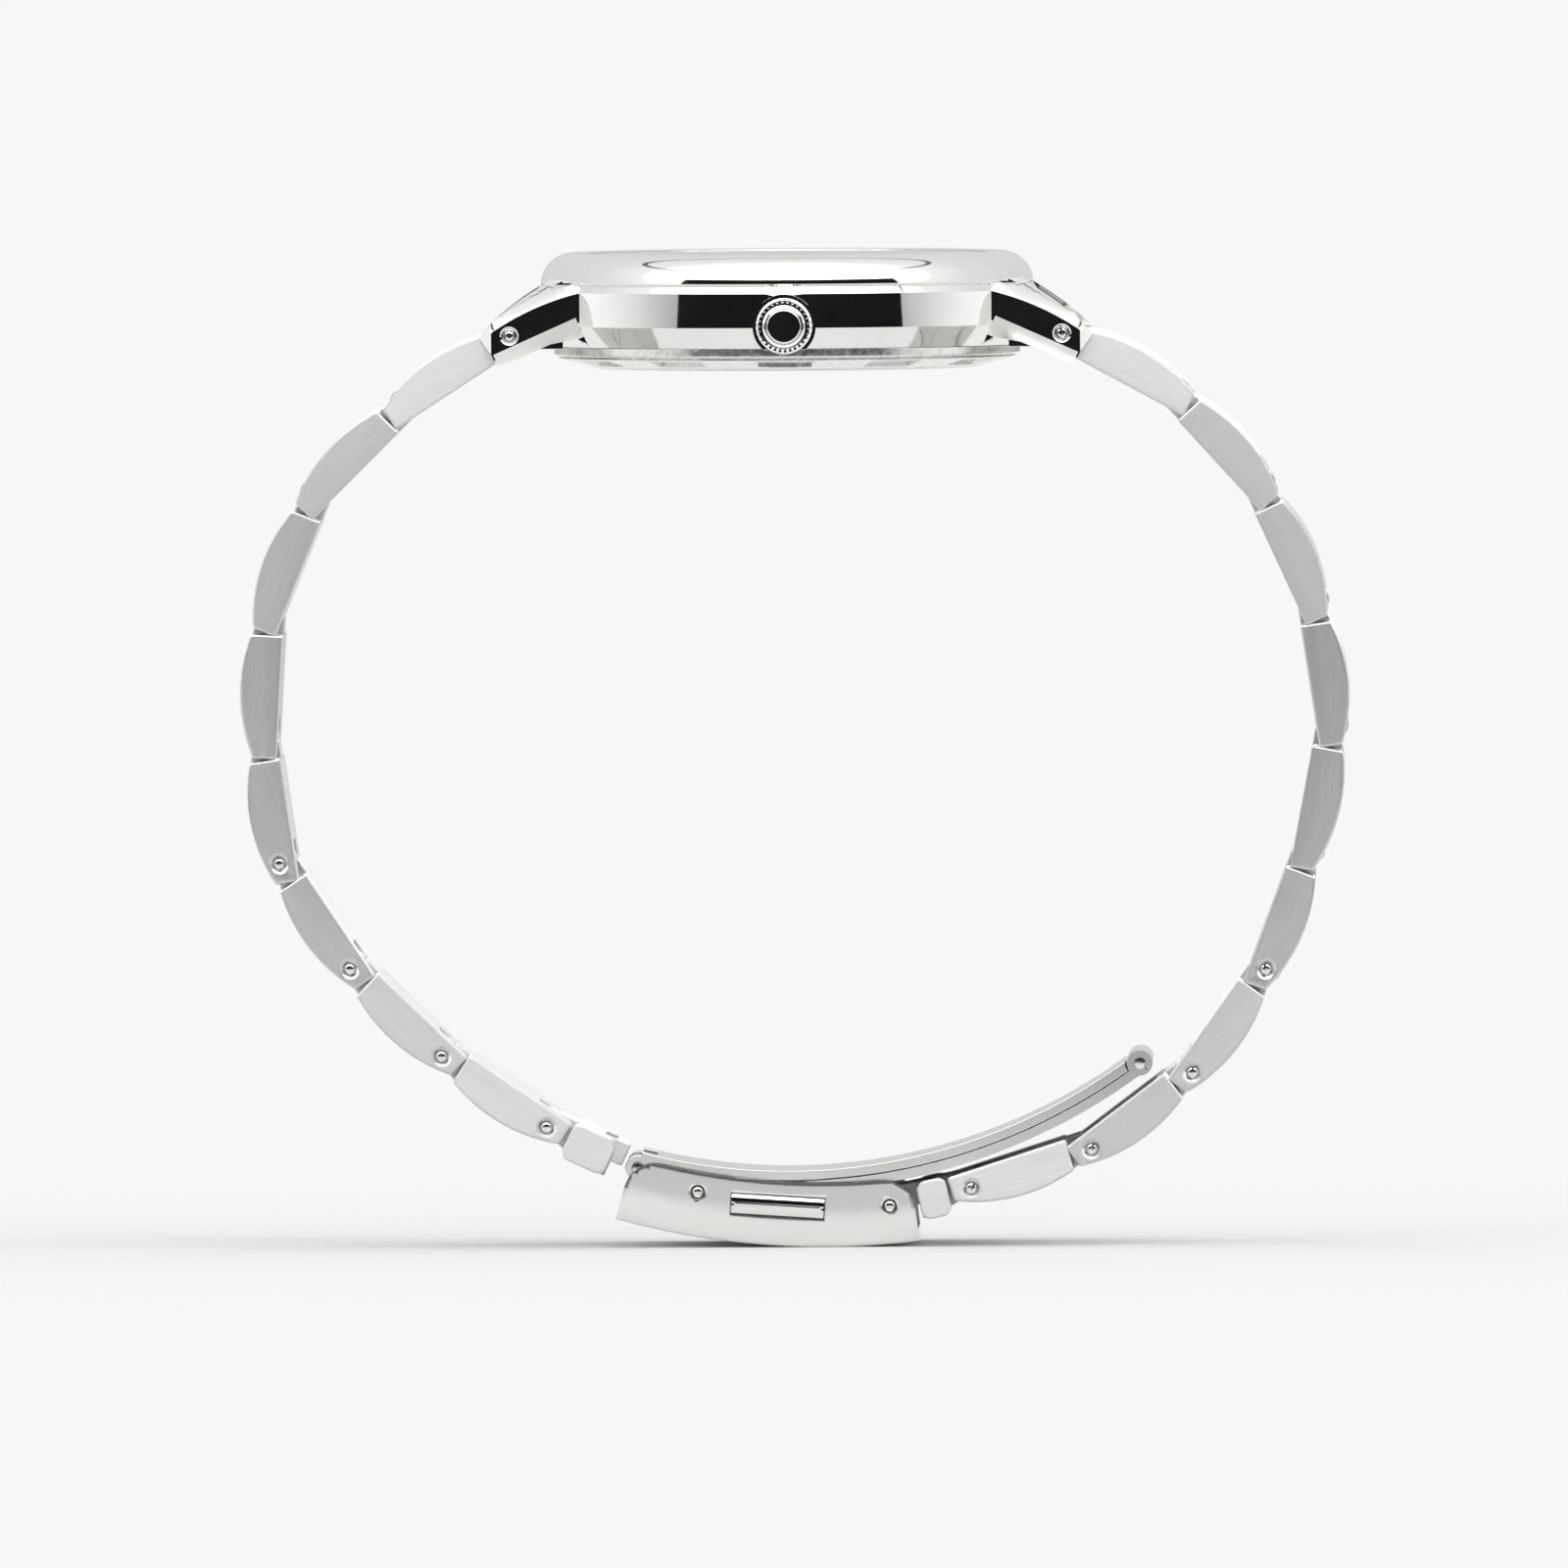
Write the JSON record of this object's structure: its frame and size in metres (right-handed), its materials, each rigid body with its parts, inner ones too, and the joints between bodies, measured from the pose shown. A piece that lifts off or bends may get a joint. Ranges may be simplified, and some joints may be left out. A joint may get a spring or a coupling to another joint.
{
  "type": "wristwatch",
  "caption": "Round steel wristwatch with domed bezel on a three-row link bracelet, closed by a push-button folding clasp.",
  "frame": {"origin": "middle of the caseback's flat outer face, where the watch rests on the wrist", "axes": "+Z out of the dial, +X towards 12 o'clock, -Y towards the crown at 3 o'clock"},
  "size_m": [0.0945, 0.046, 0.0848],
  "materials": {
    "satin_steel": "satin case steel with polished bevels",
    "polished_steel": "mirror polished steel",
    "brushed_steel": "lengthwise brushed steel with polished edges",
    "clasp_steel": "satin steel",
    "blade_steel": "fine grained sheet steel",
    "pin_steel": "turned steel",
    "movement_steel": "plain steel",
    "battery_steel": "satin cell casing",
    "crystal": "clear mineral glass",
    "gasket_nylon": "white nylon",
    "rehaut_lacquer": "satin black ring",
    "dial_lacquer": "black sunburst lacquer",
    "brass": "plated brass",
    "movement_plastic": "moulded white plastic",
    "copper_wire": "enamelled copper winding",
    "seal_rubber": "black seal",
    "hand_steel": "polished steel with lacquer-free faces"
  },
  "bodies": {
    "head": {"case_body": "satin_steel", "bezel": "polished_steel", "crystal": "crystal", "crystal_gasket": "gasket_nylon", "rehaut": "rehaut_lacquer", "dial": "dial_lacquer", "hour_markers": "polished_steel", "hand_post": "brass", "movement_ring": "movement_plastic", "main_plate": "brass", "coil": "copper_wire", "stepper_motor": "movement_steel", "battery": "battery_steel", "battery_clamp": "brass", "caseback": "satin_steel", "caseback_gasket": "seal_rubber", "crown_tube": "movement_steel", "end_pieces": "satin_steel", "lug_pins": "pin_steel"},
    "setting_lever": {"setting_lever": "movement_steel"},
    "crown": {"stem": "movement_steel", "crown": "polished_steel", "crown_gasket": "seal_rubber"},
    "hour_hand": {"hour_hand": "hand_steel"},
    "minute_hand": {"minute_hand": "hand_steel"},
    "second_hand": {"second_hand": "hand_steel"},
    "link_6_1": {"link_6_1": "brushed_steel"},
    "link_6_2": {"link_6_2": "brushed_steel"},
    "link_6_3": {"link_6_3": "brushed_steel"},
    "link_6_4": {"link_6_4": "brushed_steel"},
    "link_6_5": {"link_6_5": "brushed_steel"},
    "link_6_6": {"link_6_6": "brushed_steel"},
    "link_6_7": {"link_6_7": "brushed_steel"},
    "link_6_8": {"link_6_8": "brushed_steel"},
    "end_link_6": {"end_link_6": "brushed_steel"},
    "link_12_1": {"link_12_1": "brushed_steel"},
    "link_12_2": {"link_12_2": "brushed_steel"},
    "link_12_3": {"link_12_3": "brushed_steel"},
    "link_12_4": {"link_12_4": "brushed_steel"},
    "link_12_5": {"link_12_5": "brushed_steel"},
    "link_12_6": {"link_12_6": "brushed_steel"},
    "link_12_7": {"link_12_7": "brushed_steel"},
    "link_12_8": {"link_12_8": "brushed_steel"},
    "link_12_9": {"link_12_9": "brushed_steel"},
    "end_link_12": {"end_link_12": "brushed_steel"},
    "clasp_cover": {"clasp_cover": "clasp_steel", "cover_pins": "pin_steel", "spring_near": "movement_steel", "spring_far": "movement_steel"},
    "button_near": {"button_near": "polished_steel"},
    "button_far": {"button_far": "polished_steel"},
    "middle_blade": {"middle_blade": "blade_steel", "fold_pin": "pin_steel"},
    "bottom_blade": {"bottom_blade": "blade_steel", "blade_end_pin": "pin_steel"}
  },
  "joints": [
    {"name": "crown_pull", "type": "slide", "parent": "head", "child": "setting_lever", "axis": [0, -1, 0], "range_m": [0, 0.0012]},
    {"name": "crown_turn", "type": "hinge", "parent": "setting_lever", "child": "crown", "pos_m": [0, -0.0225, 0.0039], "axis": [0, -1, 0], "continuous": true},
    {"name": "seconds_turn", "type": "hinge", "parent": "head", "child": "second_hand", "pos_m": [0, 0, 0.0078], "axis": [0, 0, -1], "continuous": true},
    {"name": "minutes_turn", "type": "hinge", "parent": "head", "child": "minute_hand", "pos_m": [0, 0, 0.00745], "axis": [0, 0, -1], "continuous": true},
    {"name": "hours_turn", "type": "hinge", "parent": "head", "child": "hour_hand", "pos_m": [0, 0, 0.00705], "axis": [0, 0, -1], "continuous": true},
    {"name": "hinge_6_1", "type": "hinge", "parent": "head", "child": "link_6_1", "pos_m": [-0.02355, 0, 0.00302], "axis": [0, 1, 0], "range_deg": [0, 40.9]},
    {"name": "hinge_6_2", "type": "hinge", "parent": "link_6_1", "child": "link_6_2", "pos_m": [-0.03262, 0, -0.00285], "axis": [0, 1, 0], "range_deg": [0, 15.9]},
    {"name": "hinge_6_3", "type": "hinge", "parent": "link_6_2", "child": "link_6_3", "pos_m": [-0.04028, 0, -0.01046], "axis": [0, 1, 0], "range_deg": [0, 26.9]},
    {"name": "hinge_6_4", "type": "hinge", "parent": "link_6_3", "child": "link_6_4", "pos_m": [-0.04438, 0, -0.02045], "axis": [0, 1, 0], "range_deg": [0, 23]},
    {"name": "hinge_6_5", "type": "hinge", "parent": "link_6_4", "child": "link_6_5", "pos_m": [-0.045, 0, -0.03123], "axis": [0, 1, 0], "range_deg": [0, 15.5]},
    {"name": "hinge_6_6", "type": "hinge", "parent": "link_6_5", "child": "link_6_6", "pos_m": [-0.04346, 0, -0.04192], "axis": [0, 1, 0], "range_deg": [0, 29.3]},
    {"name": "hinge_6_7", "type": "hinge", "parent": "link_6_6", "child": "link_6_7", "pos_m": [-0.0375, 0, -0.05093], "axis": [0, 1, 0], "range_deg": [0, 16.5]},
    {"name": "hinge_6_8", "type": "hinge", "parent": "link_6_7", "child": "link_6_8", "pos_m": [-0.02973, 0, -0.05843], "axis": [0, 1, 0], "range_deg": [0, 13.7]},
    {"name": "hinge_6_9", "type": "hinge", "parent": "link_6_8", "child": "end_link_6", "pos_m": [-0.02081, 0, -0.06452], "axis": [0, 1, 0], "range_deg": [0, 13.5]},
    {"name": "hinge_12_1", "type": "hinge", "parent": "head", "child": "link_12_1", "pos_m": [0.02355, 0, 0.00302], "axis": [0, -1, 0], "range_deg": [0, 36.5]},
    {"name": "hinge_12_2", "type": "hinge", "parent": "link_12_1", "child": "link_12_2", "pos_m": [0.03304, 0, -0.00213], "axis": [0, -1, 0], "range_deg": [0, 23.3]},
    {"name": "hinge_12_3", "type": "hinge", "parent": "link_12_2", "child": "link_12_3", "pos_m": [0.0403, 0, -0.01013], "axis": [0, -1, 0], "range_deg": [0, 21.6]},
    {"name": "hinge_12_4", "type": "hinge", "parent": "link_12_3", "child": "link_12_4", "pos_m": [0.04479, 0, -0.01995], "axis": [0, -1, 0], "range_deg": [0, 20]},
    {"name": "hinge_12_5", "type": "hinge", "parent": "link_12_4", "child": "link_12_5", "pos_m": [0.04641, 0, -0.03063], "axis": [0, -1, 0], "range_deg": [0, 23.3]},
    {"name": "hinge_12_6", "type": "hinge", "parent": "link_12_5", "child": "link_12_6", "pos_m": [0.0444, 0, -0.04124], "axis": [0, -1, 0], "range_deg": [0, 13.8]},
    {"name": "hinge_12_7", "type": "hinge", "parent": "link_12_6", "child": "link_12_7", "pos_m": [0.04062, 0, -0.05136], "axis": [0, -1, 0], "range_deg": [0, 19.2]},
    {"name": "hinge_12_8", "type": "hinge", "parent": "link_12_7", "child": "link_12_8", "pos_m": [0.03432, 0, -0.06013], "axis": [0, -1, 0], "range_deg": [0, 21.4]},
    {"name": "hinge_12_9", "type": "hinge", "parent": "link_12_8", "child": "link_12_9", "pos_m": [0.02568, 0, -0.06662], "axis": [0, -1, 0], "range_deg": [0, 23.2]},
    {"name": "hinge_12_10", "type": "hinge", "parent": "link_12_9", "child": "end_link_12", "pos_m": [0.01539, 0, -0.0699], "axis": [0, -1, 0], "range_deg": [0, 9.7]},
    {"name": "cover_hinge", "type": "hinge", "parent": "end_link_12", "child": "clasp_cover", "pos_m": [0.00842, 0, -0.07138], "axis": [0, -1, 0], "range_deg": [0, 10]},
    {"name": "bottom_blade_fold", "type": "hinge", "parent": "middle_blade", "child": "bottom_blade", "pos_m": [0.0298, 0, -0.05934], "axis": [0, 1, 0], "range_deg": [0, 95]},
    {"name": "middle_blade_fold", "type": "hinge", "parent": "clasp_cover", "child": "middle_blade", "pos_m": [-0.00795, 0, -0.07009], "axis": [0, -1, 0], "range_deg": [0, 47.5]},
    {"name": "button_near_press", "type": "slide", "parent": "clasp_cover", "child": "button_near", "axis": [0, 1, 0], "range_m": [0, 0.0007], "stiffness_N_per_m": 300, "springref_m": -0.001, "deforming": ["spring_near"]},
    {"name": "button_far_press", "type": "slide", "parent": "clasp_cover", "child": "button_far", "axis": [0, -1, 0], "range_m": [0, 0.0007], "stiffness_N_per_m": 300, "springref_m": -0.001, "deforming": ["spring_far"]}
  ],
  "couplings": [
    {"joint": "minutes_turn", "follows": "seconds_turn", "ratio": 0.016667},
    {"joint": "hours_turn", "follows": "seconds_turn", "ratio": 0.0013889},
    {"joint": "middle_blade_fold", "follows": "bottom_blade_fold", "ratio": 0.5}
  ]
}
